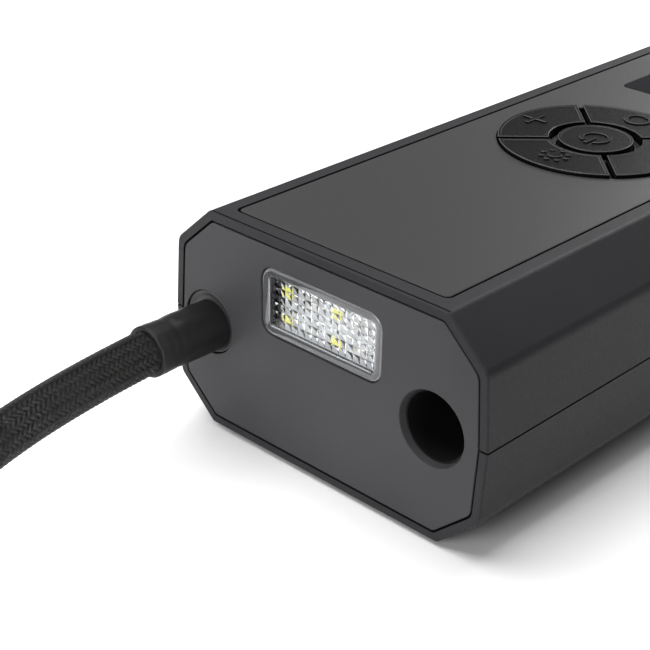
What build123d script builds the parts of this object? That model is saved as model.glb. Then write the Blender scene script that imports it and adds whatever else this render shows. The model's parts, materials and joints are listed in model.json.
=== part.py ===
"""Cordless tyre inflator: octagonal hand-held case, battery pump, braided air hose and screw-on chuck.

Frame: millimetres, +Z up, +Y from the front face to the back, origin under the middle of the body.
Each piece is a separate solid, written as one STEP file in parts/.
"""
from build123d import *
import math
import os

os.makedirs("parts", exist_ok=True)

# ---------------------------------------------------------------- driving dimensions (mm)
length = 176.0            # body, front face to back face
height = 48.0             # body without its feet
foot_proud = 0.8          # how far the rubber feet hold the body up
wall = 2.2                # shell wall
top_half_width = 30.5     # flat top and flat bottom
upper_half_width = 40.04  # where the upper chamfer meets the side
upper_corner_z = 39.3
middle_half_width = 41.04  # widest line, where the two shells part
parting_z = 23.94
lower_half_width = 40.2
lower_corner_z = 8.65
parting_gap = 0.4
end_panel_thickness = 3.0
rim_width = 1.8           # flat rim of the shells round each end panel
rim_chamfer = 0.3
rim_line = (0.35, 0.75)   # fine groove across the top behind each rim, measured from the end face
rim_line_depth = 0.4
end_panel_inset = 2.25
ledge_inset = 4.6         # ledge behind each end panel
ledge_thickness = 2.0
edge_break = 0.12         # small chamfer on the visible edges of the panels
running_clearance = 0.05

bottom_z = foot_proud
top_z = bottom_z + height
seam_z = bottom_z + parting_z
floor_z = bottom_z + wall          # inner face of the lower shell
ceiling_z = top_z - wall           # inner face of the upper shell

# top overlay, display and buttons; depths are measured back from the front face
overlay_half_width = 27.3
overlay_margin = 3.8
overlay_thickness = 1.0
overlay_gap = 0.55        # groove round the overlay
button_centre = 86.0
button_disc_radius = 21.3
button_gap = 1.3
power_radius = 8.2
button_ring_radius = 10.15
button_proud = 0.8
button_travel = 0.6
key_edge = 0.25           # rounding of the keys' upper edges
key_rim = 0.65            # width of the raised rim round each key top
key_dish = 0.15           # how far a key top lies below its rim
icon_height = 0.38         # height of a raised symbol above the dished top
icon_edge = 0.12
icon_stroke = 0.9
display_centre = 134.0
display_size = (35.0, 26.0)

# front panel features, (x, z) above the body's bottom
lens_centre = (-0.2, 34.2)
lens_size = (31.2, 14.3)
lens_corner = 3.0
led_columns = (-9.6, -3.2, 3.2, 9.6)
led_rows = (-2.9, 2.9)
led_top_depth = 1.5
led_board_shift = 1.25    # the board stops short at the lens's left end
socket_centre = (28.0, 23.5)
socket_radius = 6.9
socket_wall = 1.4
socket_depth = 44.0
hose_hole_centre = (-31.0, 23.3)
hose_hole_radius = 6.83
hose_drop = 0.7           # the hose leaves its hole a little below the middle
hose_diameter = 9.2
sleeve_radius = 5.25
sleeve_reach = 16.8       # how far the sleeve stands out of the front face

# pump
pump_z = bottom_z + 23.3
gear_module = 0.8
pressure_angle = math.radians(25)
addendum = 0.8 * gear_module
dedendum = 1.1 * gear_module
tooth_thinning = 0.10
pinion_teeth = 10
gear_teeth = 38
centre_distance = gear_module * (pinion_teeth + gear_teeth) / 2 + 0.05
gear_x = -6.2
motor_x = gear_x - centre_distance
crank_radius = 5.5
motor_radius = 12.0
motor_front = 31.0
frame_front = 57.5
frame_plate = 2.0
gear_front = 63.5
gear_width = 5.0
rod_front = 70.5
rod_thickness = 5.0
rod_depth = rod_front + rod_thickness / 2
bore_radius = 10.5
cylinder_start = 13.0
cylinder_end = 30.0

# battery
cell_radius = 9.2
cell_length = 65.0
cell_pitch = 18.9
cells_front = 101.5
cells_z = floor_z + 0.6 + cell_radius

# electronics
board_thickness = 1.6
board_bottom = bottom_z + 39.8
board_top = board_bottom + board_thickness
port_z = board_bottom - 1.7

# case screws, (x, depth)
boss_places = [(-12.0, 9.5), (12.0, 9.5), (-34.5, 94.0), (34.5, 94.0), (-34.5, 169.0), (34.5, 169.0)]
foot_places = [(-24.0, 14.0), (24.0, 14.0), (-24.0, 162.0), (24.0, 162.0)]

# hose route: (x, distance ahead of the front face, height of the centre line above the ground)
hose_route = [
    (-31.0, 16.8, 23.4),
    (-31.0, 42.0, 21.9),
    (-27.5, 72.0, 16.2),
    (-10.5, 94.0, 8.6),
    (18.0, 106.0, 4.9),
    (35.5, 131.5, 4.7),
    (36.0, 164.0, 4.7),
    (18.0, 191.0, 4.7),
    (-12.0, 203.0, 4.7),
    (-43.5, 195.5, 4.7),
    (-65.5, 171.5, 4.8),
    (-69.5, 139.5, 6.4),
    (-69.5, 112.5, 6.7),
]
chuck_x, _, chuck_z = hose_route[-1]
chuck_radius = 6.5
valve_radius = 3.9


# ---------------------------------------------------------------- helpers
def across(depth):
    """Plane across the body at a depth behind the front face: local x is X, local y is Z."""
    return Plane.XZ.offset(length / 2 - depth)


def along_y(x, z, radius, start, end, mode=Mode.ADD):
    """Round bar from one depth to another, in the part being built."""
    with BuildSketch(across(start)) as profile:
        with Locations((x, z)):
            Circle(radius)
    extrude(profile.sketch, amount=start - end, mode=mode)


def along_x(depth, z, radius, start, end, mode=Mode.ADD):
    """Round bar from x = start to x = end, in the part being built."""
    with BuildSketch(Plane.YZ.offset(start)) as profile:
        with Locations((depth - length / 2, z)):
            Circle(radius)
    extrude(profile.sketch, amount=end - start, mode=mode)


def upright(x, depth, radius, start, end, mode=Mode.ADD):
    """Round bar from z = start to z = end, in the part being built."""
    with BuildSketch(Plane.XY.offset(start)) as profile:
        with Locations((x, depth - length / 2)):
            Circle(radius)
    extrude(profile.sketch, amount=end - start, mode=mode)


def block(x, depth, z, mode=Mode.ADD):
    """Block between the given (low, high) pairs of x, depth and z, in the part being built."""
    with BuildSketch(Plane.XY.offset(z[0])) as profile:
        with Locations(((x[0] + x[1]) / 2, (depth[0] + depth[1]) / 2 - length / 2)):
            Rectangle(x[1] - x[0], depth[1] - depth[0])
    extrude(profile.sketch, amount=z[1] - z[0], mode=mode)


def turned_y(x, z, outline, mode=Mode.ADD):
    """Turned solid about a line along Y, in the part being built; outline lists (radius, depth)."""
    with BuildSketch(Plane.XY.offset(z)) as profile:
        with BuildLine():
            Polyline(*[(x + radius, depth - length / 2) for radius, depth in outline], close=True)
        make_face()
    revolve(profile.sketch, axis=Axis((x, 0, z), (0, 1, 0)), mode=mode)


def turned_x(depth, z, outline, mode=Mode.ADD):
    """Turned solid about a line along X, in the part being built; outline lists (x, radius)."""
    with BuildSketch(Plane.XY.offset(z)) as profile:
        with BuildLine():
            Polyline(*[(x, depth - length / 2 + radius) for x, radius in outline], close=True)
        make_face()
    revolve(profile.sketch, axis=Axis((0, depth - length / 2, z), (1, 0, 0)), mode=mode)


def body_section(inset=0.0, flat_corner=1.5, side_corner=3.0):
    """The body's octagonal cross-section, drawn inset, as a sketch in (x, z)."""
    right_side = [
        (top_half_width, bottom_z),
        (lower_half_width, bottom_z + lower_corner_z),
        (middle_half_width, seam_z),
        (upper_half_width, bottom_z + upper_corner_z),
        (top_half_width, top_z),
    ]
    left_side = [(-x, z) for x, z in reversed(right_side)]
    with BuildSketch() as section:
        with BuildLine():
            Polyline(*right_side, *left_side, close=True)
        make_face()
        if inset > 0:
            offset(amount=-inset, kind=Kind.INTERSECTION)
        levels = section.vertices().group_by(Axis.Y)
        fillet(levels[1] + levels[-2], side_corner)
        levels = section.vertices().group_by(Axis.Y)
        fillet(levels[0] + levels[-1], flat_corner)
    return section.sketch


def slab(depth, thickness, outline, hole=None, mode=Mode.ADD):
    """Slice with the given outline and hole, from a depth towards the back, in the part being built."""
    with BuildSketch(across(depth)) as profile:
        add(outline)
        if hole is not None:
            add(hole, mode=Mode.SUBTRACT)
    extrude(profile.sketch, amount=-thickness, mode=mode)


def gear_profile(teeth):
    """Involute spur gear outline, with a tooth centred on local +X."""
    pitch_radius = gear_module * teeth / 2
    base_radius = pitch_radius * math.cos(pressure_angle)
    tip_radius = pitch_radius + addendum
    root_radius = pitch_radius - dedendum
    start_radius = max(base_radius, root_radius)
    involute_at_pitch = math.tan(pressure_angle) - pressure_angle
    half_angle = math.pi / (2 * teeth) - tooth_thinning / (2 * pitch_radius) + involute_at_pitch
    flank = []
    for step in range(5):
        radius = start_radius + (tip_radius - start_radius) * step / 4
        roll = math.acos(min(1.0, base_radius / radius))
        angle = half_angle - (math.tan(roll) - roll)
        flank.append((radius * math.cos(angle), radius * math.sin(angle)))
    foot = (0.9 * root_radius * math.cos(half_angle), 0.9 * root_radius * math.sin(half_angle))
    other_flank = [(x, -y) for x, y in reversed(flank)]
    with BuildSketch() as tooth:
        with BuildLine():
            Line(foot, flank[0])
            Spline(*flank)
            ThreePointArc(flank[-1], (tip_radius, 0), other_flank[0])
            Spline(*other_flank)
            Line(other_flank[-1], (foot[0], -foot[1]))
            Line((foot[0], -foot[1]), foot)
        make_face()
    with BuildSketch() as profile:
        Circle(root_radius)
        with PolarLocations(0, teeth):
            add(tooth.sketch)
    return profile.sketch


def save(piece, name):
    """Label the piece and write its STEP file."""
    piece.part.label = name
    export_step(piece.part, f"parts/{name}.step")


# ---------------------------------------------------------------- case
outer_section = body_section()
cavity_section = body_section(wall)
pocket_section = body_section(rim_width)
panel_section = body_section(end_panel_inset)
ledge_section = body_section(ledge_inset)
bond_section = body_section(wall - 0.3)
tongue_x = middle_half_width - wall
tongue_thickness = 1.0
tongue_height = 1.6
tongue_start = end_panel_thickness + ledge_thickness + 0.3
boss_radius = 3.2
screw_radius = 1.5
screw_head_radius = 2.5
screw_seat_z = bottom_z + 8.0
screw_tip_z = seam_z + 9.0
board_post_places = [(-22.0, 68.0), (22.0, 68.0), (-22.0, 160.0), (22.0, 160.0)]
foot_radius = 4.0
lens_z = bottom_z + lens_centre[1]
socket_z = bottom_z + socket_centre[1]
hose_x = hose_hole_centre[0]
hose_hole_z = bottom_z + hose_hole_centre[1]
hose_z = hose_hole_z - hose_drop
socket_front = 1.5
grommet_flange_radius = 7.6


def case_tube():
    """The whole case as one tube, with the pocket and the ledge for each end panel."""
    slab(0.0, length, outer_section, cavity_section)
    slab(0.0, end_panel_thickness, pocket_section, mode=Mode.SUBTRACT)
    slab(length - end_panel_thickness, end_panel_thickness, pocket_section, mode=Mode.SUBTRACT)
    slab(end_panel_thickness, ledge_thickness, bond_section, ledge_section)
    slab(length - end_panel_thickness - ledge_thickness, ledge_thickness, bond_section, ledge_section)
    for end in (0, -1):
        chamfer(faces().sort_by(Axis.Y)[end].outer_wire().edges(), rim_chamfer)
    rim_line_z = (top_z - rim_line_depth, top_z + 1)
    for near, far in (rim_line, (length - rim_line[1], length - rim_line[0])):
        block((-top_half_width, top_half_width), (near, far), rim_line_z, Mode.SUBTRACT)


def grommet_notch():
    """Room in the front ledge for the flange of the hose grommet."""
    along_y(hose_x, hose_hole_z, grommet_flange_radius + 0.1, end_panel_thickness,
            end_panel_thickness + ledge_thickness + 0.1, Mode.SUBTRACT)


def side_strips(inner_x, outer_x, margin, z, mode):
    """A strip along both sides of the case, for the tongue and its rabbet."""
    for low, high in ((inner_x, outer_x), (-outer_x, -inner_x)):
        block((low, high), (tongue_start - margin, length - tongue_start + margin), z, mode)


with BuildPart() as upper_shell:
    case_tube()
    for x, depth in boss_places:
        upright(x, depth, boss_radius, seam_z, top_z - 1.5)
    for x, depth in board_post_places:
        upright(x, depth, 2.5, board_top, ceiling_z + 0.5)
    slab(0.0, length, outer_section, mode=Mode.INTERSECT)
    block((-60, 60), (-10, length + 10), (-10, seam_z + parting_gap / 2), Mode.SUBTRACT)
    grommet_notch()
    rabbet_z = (seam_z, seam_z + tongue_height + 0.3)
    side_strips(tongue_x - 3, tongue_x + tongue_thickness + 0.1, 0.2, rabbet_z, Mode.SUBTRACT)
    for x, depth in boss_places:
        upright(x, depth, screw_radius, seam_z, screw_tip_z + 1, Mode.SUBTRACT)
    for x, depth in board_post_places:
        upright(x, depth, 1.0, board_top, board_top + 4.2, Mode.SUBTRACT)
    with BuildSketch(Plane.XY.offset(top_z)):
        RectangleRounded(2 * overlay_half_width, length - 2 * overlay_margin, 1.5)
    extrude(amount=-overlay_thickness, mode=Mode.SUBTRACT)
    upright(0, button_centre, button_disc_radius + 0.25, ceiling_z - 1, top_z, Mode.SUBTRACT)
    block((-15.5, 15.5), (display_centre - 11, display_centre + 11), (ceiling_z - 1, top_z), Mode.SUBTRACT)
    # guide ring and cross that stand in the gaps between the buttons
    with BuildSketch(Plane.XY.offset(ceiling_z)):
        with Locations((0, button_centre - length / 2)):
            Circle(9.8)
            Circle(8.55, mode=Mode.SUBTRACT)
            with PolarLocations((9.3 + button_disc_radius) / 2 + 0.15, 4, start_angle=45):
                Rectangle(button_disc_radius - 9.3 + 0.6, 0.7)
    extrude(amount=wall - overlay_thickness - 0.05)
save(upper_shell, "upper_shell")

with BuildPart() as lower_shell:
    case_tube()
    for x, depth in boss_places:
        upright(x, depth, boss_radius, bottom_z, seam_z)
    slab(0.0, length, outer_section, mode=Mode.INTERSECT)
    block((-60, 60), (-10, length + 10), (seam_z - parting_gap / 2, top_z + 10), Mode.SUBTRACT)
    grommet_notch()
    side_strips(tongue_x, tongue_x + tongue_thickness, 0.0, (seam_z - 2, seam_z + tongue_height), Mode.ADD)
    for x, depth in boss_places:
        upright(x, depth, screw_radius + 0.1, bottom_z, seam_z, Mode.SUBTRACT)
        upright(x, depth, screw_head_radius + 0.2, bottom_z - 1, screw_seat_z, Mode.SUBTRACT)
    for x, depth in foot_places:
        upright(x, depth, foot_radius + 0.1, bottom_z - 1, bottom_z + 0.8, Mode.SUBTRACT)
    # air intake slots under the pump
    with BuildSketch(Plane.XY.offset(bottom_z - 1)):
        with Locations((0, 77.0 - length / 2)):
            with GridLocations(4.0, 0, 6, 1):
                SlotOverall(15.0, 1.6, rotation=90)
    extrude(amount=wall + 2, mode=Mode.SUBTRACT)
save(lower_shell, "lower_shell")

with BuildPart() as case_screws:
    for x, depth in boss_places:
        upright(x, depth, screw_head_radius, screw_seat_z - 2, screw_seat_z)
        upright(x, depth, screw_radius, screw_seat_z, screw_tip_z)
        upright(x, depth, 0.9, screw_seat_z - 2, screw_seat_z - 1, Mode.SUBTRACT)
save(case_screws, "case_screws")

with BuildPart() as rubber_feet:
    for x, depth in foot_places:
        upright(x, depth, foot_radius, 0, bottom_z + 0.8)
    chamfer(rubber_feet.faces().group_by(Axis.Z)[0].edges(), 0.3)
save(rubber_feet, "rubber_feet")

with BuildPart() as front_panel:
    slab(0.0, end_panel_thickness, panel_section)
    with BuildSketch(across(0)):
        with Locations((lens_centre[0], lens_z)):
            RectangleRounded(lens_size[0] + 0.3, lens_size[1] + 0.3, lens_corner + 0.15)
    extrude(amount=-end_panel_thickness, mode=Mode.SUBTRACT)
    along_y(hose_x, hose_hole_z, hose_hole_radius, 0, end_panel_thickness, Mode.SUBTRACT)
    turned_y(socket_centre[0], socket_z, [
        (0, 0),
        (socket_radius + 0.8, 0),
        (socket_radius + 0.4, socket_front),
        (socket_radius + socket_wall + 0.05, socket_front),
        (socket_radius + socket_wall + 0.05, end_panel_thickness),
        (0, end_panel_thickness),
    ], Mode.SUBTRACT)
    chamfer(front_panel.faces().sort_by(Axis.Y)[0].edges(), edge_break)
save(front_panel, "front_panel")

with BuildPart() as storage_socket:
    socket_back = socket_front + socket_depth
    along_y(socket_centre[0], socket_z, socket_radius + socket_wall, socket_front, socket_back + socket_wall)
    along_y(socket_centre[0], socket_z, socket_radius, socket_front, socket_back, Mode.SUBTRACT)
save(storage_socket, "storage_socket")

# ---------------------------------------------------------------- work light
with BuildPart() as led_lens:
    with BuildSketch(across(0.15)):
        with Locations((lens_centre[0], lens_z)):
            RectangleRounded(*lens_size, lens_corner)
    extrude(amount=0.15 - end_panel_thickness)
    chamfer(led_lens.faces().sort_by(Axis.Y)[0].edges(), 0.5)
    with BuildSketch(across(end_panel_thickness)):
        with Locations((lens_centre[0], lens_z)):
            RectangleRounded(lens_size[0] + 2.0, lens_size[1] + 2.0, lens_corner + 1.0)
    extrude(amount=-0.8)
    with BuildSketch(across(1.15)):
        with Locations((lens_centre[0], lens_z)):
            RectangleRounded(lens_size[0] - 2.4, lens_size[1] - 2.4, 1.8)
    extrude(amount=-5, mode=Mode.SUBTRACT)
save(led_lens, "led_lens")

with BuildPart() as led_board:
    with BuildSketch(across(led_top_depth + 0.7)):
        with Locations((lens_centre[0] + led_board_shift, lens_z)):
            RectangleRounded(lens_size[0] - 3.0 - 2 * led_board_shift, lens_size[1] - 3.0, 1.5)
    extrude(amount=-1.0)
save(led_board, "led_board")

with BuildPart() as led_emitters:
    with BuildSketch(across(led_top_depth)):
        with Locations(*[(lens_centre[0] + x, lens_z + z) for x in led_columns for z in led_rows]):
            Rectangle(2.4, 2.0)
    extrude(amount=-0.7)
save(led_emitters, "led_emitters")

# ---------------------------------------------------------------- top overlay, display and buttons
with BuildPart() as display_panel:
    with BuildSketch(Plane.XY.offset(top_z)):
        RectangleRounded(2 * (overlay_half_width - overlay_gap),
                         length - 2 * (overlay_margin + overlay_gap), 1.15)
        with Locations((0, button_centre - length / 2)):
            Circle(button_disc_radius + 0.25, mode=Mode.SUBTRACT)
        with Locations((0, display_centre - length / 2)):
            RectangleRounded(*display_size, 2.0, mode=Mode.SUBTRACT)
    extrude(amount=-overlay_thickness)
    chamfer(display_panel.faces().sort_by(Axis.Z)[-1].edges(), edge_break)
save(display_panel, "display_panel")

with BuildPart() as display_window:
    with BuildSketch(Plane.XY.offset(top_z)):
        with Locations((0, display_centre - length / 2)):
            RectangleRounded(display_size[0] - 0.3, display_size[1] - 0.3, 1.85)
    extrude(amount=-overlay_thickness)
save(display_window, "display_window")

button_top = top_z + button_proud
flange_top = ceiling_z - 0.3
stem_bottom = board_top + 2.4 + button_travel + 0.1


def button_sector(direction, outer_radius):
    """Quarter of the button disc, centred on a direction in degrees, in the sketch being drawn."""
    apex = button_gap / math.sqrt(2)
    reach = 2 * outer_radius
    with BuildSketch(mode=Mode.PRIVATE) as sector:
        Circle(outer_radius)
        Circle(button_ring_radius, mode=Mode.SUBTRACT)
        with BuildLine():
            Polyline((apex, 0), (apex + reach, reach), (apex + reach, -reach), close=True)
        make_face(mode=Mode.INTERSECT)
    with Locations(Location((0, button_centre - length / 2, 0), (0, 0, direction))):
        add(sector.sketch)


def power_outline():
    with Locations((0, button_centre - length / 2)):
        Circle(power_radius)


def plus_icon():
    Rectangle(6.2, icon_stroke)
    Rectangle(icon_stroke, 6.2)


def minus_icon():
    Rectangle(icon_stroke, 6.2)


def light_icon():
    Circle(1.5)
    with PolarLocations(2.9, 8):
        Circle(0.55)


def mode_icon():
    Circle(3.2)
    Circle(3.2 - icon_stroke, mode=Mode.SUBTRACT)
    with Locations((0.9, 2.75)):
        Rectangle(1.0, 1.9, mode=Mode.SUBTRACT)
    with Locations((1.3, 2.75)):
        Triangle(a=2.3, B=60, C=60, rotation=-90)


def power_icon():
    Circle(3.5)
    Circle(3.5 - icon_stroke, mode=Mode.SUBTRACT)
    with Locations((0, -3.0)):
        Rectangle(2.6, 2.4, mode=Mode.SUBTRACT)
    with Locations((0, -2.2)):
        Rectangle(icon_stroke, 3.6)


def dish_top(outline):
    """Hollow the flat top of the button being built, leaving a raised rim along its outline."""
    with BuildSketch(Plane.XY.offset(button_top)) as hollow:
        outline()
        offset(amount=-key_rim, kind=Kind.INTERSECTION, mode=Mode.REPLACE)
    extrude(hollow.sketch, amount=-key_dish, taper=40, mode=Mode.SUBTRACT)


def raised_icon(icon, x, depth):
    """Raised symbol on the dished top of the button being built."""
    with BuildSketch(Plane.XY.offset(button_top - key_dish)) as symbol:
        with Locations((x, depth - length / 2)):
            icon()
    extrude(symbol.sketch, amount=icon_height)
    chamfer(faces().group_by(Axis.Z)[-1].edges(), icon_edge)


quarter_buttons = [
    ("minus_button", 0, minus_icon, 16.5),
    ("mode_button", 90, mode_icon, 16.3),
    ("plus_button", 180, plus_icon, 16.5),
    ("light_button", 270, light_icon, 14.8),
]
for name, direction, icon, icon_radius in quarter_buttons:
    with BuildPart() as quarter_button:
        with BuildSketch(Plane.XY.offset(stem_bottom)):
            button_sector(direction, button_disc_radius)
        extrude(amount=button_top - stem_bottom)
        fillet(quarter_button.faces().sort_by(Axis.Z)[-1].edges(), key_edge)
        dish_top(lambda: button_sector(direction, button_disc_radius))
        with BuildSketch(Plane.XY.offset(stem_bottom)):
            button_sector(direction, button_disc_radius + 1.0)
        extrude(amount=flange_top - stem_bottom)
        angle = math.radians(direction)
        raised_icon(icon, icon_radius * math.cos(angle), button_centre + icon_radius * math.sin(angle))
    save(quarter_button, name)

with BuildPart() as power_button:
    upright(0, button_centre, power_radius, stem_bottom, button_top)
    fillet(power_button.faces().sort_by(Axis.Z)[-1].edges(), key_edge)
    dish_top(power_outline)
    upright(0, button_centre, power_radius + 0.8, stem_bottom, flange_top)
    raised_icon(power_icon, 0, button_centre)
save(power_button, "power_button")

# ---------------------------------------------------------------- electronics
board_half_width = 25.5
board_front = 64.0
board_back = 172.0
switch_places = [(0, 86.0), (16.0, 86.0), (-16.0, 86.0), (0, 70.0), (0, 102.0)]

with BuildPart() as main_board:
    block((-board_half_width, board_half_width), (board_front, board_back), (board_bottom, board_top))
    for x, depth in board_post_places:
        upright(x, depth, 1.0, board_bottom, board_top, Mode.SUBTRACT)
save(main_board, "main_board")

with BuildPart() as board_screws:
    for x, depth in board_post_places:
        upright(x, depth, 2.0, board_bottom - 1.4, board_bottom)
        upright(x, depth, 1.0, board_bottom, board_top + 4.0)
save(board_screws, "board_screws")

with BuildPart() as tactile_switches:
    for x, depth in switch_places:
        block((x - 2.6, x + 2.6), (depth - 2.6, depth + 2.6), (board_top, board_top + 1.6))
        upright(x, depth, 1.3, board_top + 1.6, board_top + 2.4)
save(tactile_switches, "tactile_switches")

with BuildPart() as display_module:
    block((-16.5, 16.5), (display_centre - 12, display_centre + 12), (board_top, board_top + 4.0))
save(display_module, "display_module")

with BuildPart() as control_chips:
    block((-15, -5), (108, 118), (board_bottom - 1.2, board_bottom))
    block((6, 12), (106, 111), (board_bottom - 1.4, board_bottom))
    block((4, 16), (120, 128), (board_bottom - 4.0, board_bottom))
save(control_chips, "control_chips")

with BuildPart() as pressure_sensor:
    block((-20, -12), (140, 148), (board_bottom - 3.0, board_bottom))
    upright(-16, 144, 1.3, board_bottom - 7.0, board_bottom - 3.0)
save(pressure_sensor, "pressure_sensor")

with BuildPart() as charging_port:
    with BuildSketch(across(165.5)):
        with Locations((0, port_z)):
            RectangleRounded(9.0, 3.2, 1.5)
    extrude(amount=-8.0)
    with BuildSketch(across(166.5)):
        with Locations((0, port_z)):
            RectangleRounded(8.4, 2.6, 1.25)
    extrude(amount=-7.0, mode=Mode.SUBTRACT)
    block((-3.4, 3.4), (166.5, 171.5), (port_z - 0.35, port_z + 0.35))
save(charging_port, "charging_port")

# ---------------------------------------------------------------- rear panel and port cover
cover_axis_z = port_z - 5.0
cover_axis_depth = length - 1.3
pocket_half_width = 8.0

with BuildPart() as rear_panel:
    slab(length - end_panel_thickness, end_panel_thickness, panel_section)
    chamfer(rear_panel.faces().sort_by(Axis.Y)[-1].edges(), edge_break)
    block((-pocket_half_width, pocket_half_width), (length - 2.4, length),
          (cover_axis_z - 1.5, port_z + 4.8), Mode.SUBTRACT)
    with BuildSketch(across(length - end_panel_thickness)):
        with Locations((0, port_z)):
            RectangleRounded(9.8, 4.0, 1.9)
    extrude(amount=-end_panel_thickness, mode=Mode.SUBTRACT)
    along_x(cover_axis_depth, cover_axis_z, 0.85, -9.0, 9.0, Mode.SUBTRACT)
save(rear_panel, "rear_panel")

with BuildPart() as port_cover:
    along_x(cover_axis_depth, cover_axis_z, 1.0, -7.6, 7.6)
    along_x(cover_axis_depth, cover_axis_z, 0.8, -8.9, 8.9)
    block((-7.6, 7.6), (length - 1.9, length - 0.1), (cover_axis_z, port_z + 4.4))
    with BuildSketch(across(length - 2.3)):
        with Locations((0, port_z)):
            RectangleRounded(8.0, 2.2, 1.0)
    extrude(amount=-0.5)
save(port_cover, "port_cover")

# ---------------------------------------------------------------- battery
cell_places = [-cell_pitch, 0.0, cell_pitch]
cells_back = cells_front + cell_length
for number, x in enumerate(cell_places, start=1):
    with BuildPart() as battery_cell:
        turned_y(x, cells_z, [
            (0, cells_front),
            (2.8, cells_front),
            (2.8, cells_front + 0.8),
            (cell_radius - 0.6, cells_front + 0.8),
            (cell_radius, cells_front + 1.6),
            (cell_radius, cells_front + 3.6),
            (cell_radius - 0.6, cells_front + 4.1),
            (cell_radius, cells_front + 4.6),
            (cell_radius, cells_back - 0.5),
            (cell_radius - 0.5, cells_back),
            (0, cells_back),
        ])
    save(battery_cell, f"battery_cell_{number}")

with BuildPart() as battery_holder:
    for start in (108.0, 156.0):
        block((-29.0, 29.0), (start, start + 6), (floor_z, cells_z + 4.0))
        for x in cell_places:
            along_y(x, cells_z, cell_radius + 0.05, start, start + 6, Mode.SUBTRACT)
save(battery_holder, "battery_holder")

with BuildPart() as nickel_strips:
    strip_z = (cells_z - 2.4, cells_z + 2.4)
    front_strips = (cells_front - 0.3, cells_front)
    back_strips = (cells_back, cells_back + 0.3)
    block((-cell_pitch - 3, 3.0), front_strips, strip_z)
    block((cell_pitch - 3, cell_pitch + 3), front_strips, strip_z)
    block((-3.0, cell_pitch + 3), back_strips, strip_z)
    block((-cell_pitch - 3, -cell_pitch + 3), back_strips, strip_z)
save(nickel_strips, "nickel_strips")

# ---------------------------------------------------------------- motor and gear train
shaft_radius = 1.0
bearing_radius = shaft_radius + running_clearance
axle_radius = 2.0
bolt_radius = 1.2
motor_screw_heights = (pump_z - 8.0, pump_z + 8.0)
gear_back = gear_front + gear_width
crank_x = gear_x - crank_radius
frame_half_height = 13.5

with BuildPart() as motor_can:
    along_y(motor_x, pump_z, motor_radius, motor_front + 1.5, frame_front)
    along_y(motor_x, pump_z, motor_radius - 0.8, motor_front + 1.5, frame_front - 1.0, Mode.SUBTRACT)
    along_y(motor_x, pump_z, 3.0, frame_front - 1.0, frame_front + 1.5)
    along_y(motor_x, pump_z, bearing_radius, frame_front - 2, frame_front + 2, Mode.SUBTRACT)
    for z in motor_screw_heights:
        along_y(motor_x, z, bolt_radius, frame_front - 2, frame_front, Mode.SUBTRACT)
save(motor_can, "motor_can")

with BuildPart() as motor_end_cap:
    along_y(motor_x, pump_z, motor_radius, motor_front, motor_front + 1.5)
    along_y(motor_x, pump_z, motor_radius - 0.8, motor_front + 1.5, motor_front + 3.0)
    along_y(motor_x, pump_z, bearing_radius, motor_front - 1, motor_front + 4, Mode.SUBTRACT)
    for side in (-1, 1):
        block((motor_x - 1, motor_x + 1), (motor_front - 3, motor_front),
              (pump_z + side * 7 - 0.3, pump_z + side * 7 + 0.3))
save(motor_end_cap, "motor_end_cap")

with BuildPart() as motor_magnets:
    along_y(motor_x, pump_z, motor_radius - 0.8, 36.0, 55.5)
    along_y(motor_x, pump_z, 9.6, 36.0, 55.5, Mode.SUBTRACT)
    block((motor_x - 4.5, motor_x + 4.5), (35, 56.5), (pump_z - 15, pump_z + 15), Mode.SUBTRACT)
save(motor_magnets, "motor_magnets")

with BuildPart() as motor_shaft:
    along_y(motor_x, pump_z, shaft_radius, motor_front - 1.5, gear_back + 1.2)
save(motor_shaft, "motor_shaft")

with BuildPart() as armature:
    along_y(motor_x, pump_z, 9.1, 38.5, 53.5)
    with BuildSketch(across(38.5)):
        with Locations((motor_x, pump_z)):
            with PolarLocations(6.4, 3):
                Circle(2.6)
            with PolarLocations(9.0, 3):
                Rectangle(3.0, 1.8)
    extrude(amount=-15.0, mode=Mode.SUBTRACT)
    along_y(motor_x, pump_z, shaft_radius, 38.0, 54.0, Mode.SUBTRACT)
save(armature, "armature")

with BuildPart() as commutator:
    along_y(motor_x, pump_z, 3.4, 34.6, 38.3)
    along_y(motor_x, pump_z, shaft_radius, 34.0, 39.0, Mode.SUBTRACT)
save(commutator, "commutator")

pinion_profile = gear_profile(pinion_teeth)
gear_outline = gear_profile(gear_teeth)

with BuildPart() as pinion:
    with BuildSketch(across(gear_front - 0.3)):
        with Locations(Location((motor_x, pump_z, 0), (0, 0, 180 / pinion_teeth))):
            add(pinion_profile)
    extrude(amount=-(gear_width + 0.6))
    along_y(motor_x, pump_z, shaft_radius, gear_front - 1, gear_back + 1, Mode.SUBTRACT)
save(pinion, "pinion")

with BuildPart() as crank_gear:
    with BuildSketch(across(gear_front)):
        with Locations((gear_x, pump_z)):
            add(gear_outline)
    extrude(amount=-gear_width)
    for start, end in ((gear_front, gear_front + 1.3), (gear_back - 1.3, gear_back)):
        with BuildSketch(across(start)):
            with Locations((gear_x, pump_z)):
                Circle(12.8)
                Circle(3.8, mode=Mode.SUBTRACT)
            with Locations((crank_x, pump_z)):
                Circle(3.0, mode=Mode.SUBTRACT)
        extrude(amount=start - end, mode=Mode.SUBTRACT)
    along_y(gear_x, pump_z, axle_radius + running_clearance, gear_front - 1, gear_back + 1, Mode.SUBTRACT)
    along_y(crank_x, pump_z, 1.5, gear_front - 1, gear_back + 1, Mode.SUBTRACT)
save(crank_gear, "crank_gear")

with BuildPart() as crank_pin:
    along_y(crank_x, pump_z, 1.5, gear_front, rod_front - 0.3)
save(crank_pin, "crank_pin")

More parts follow.
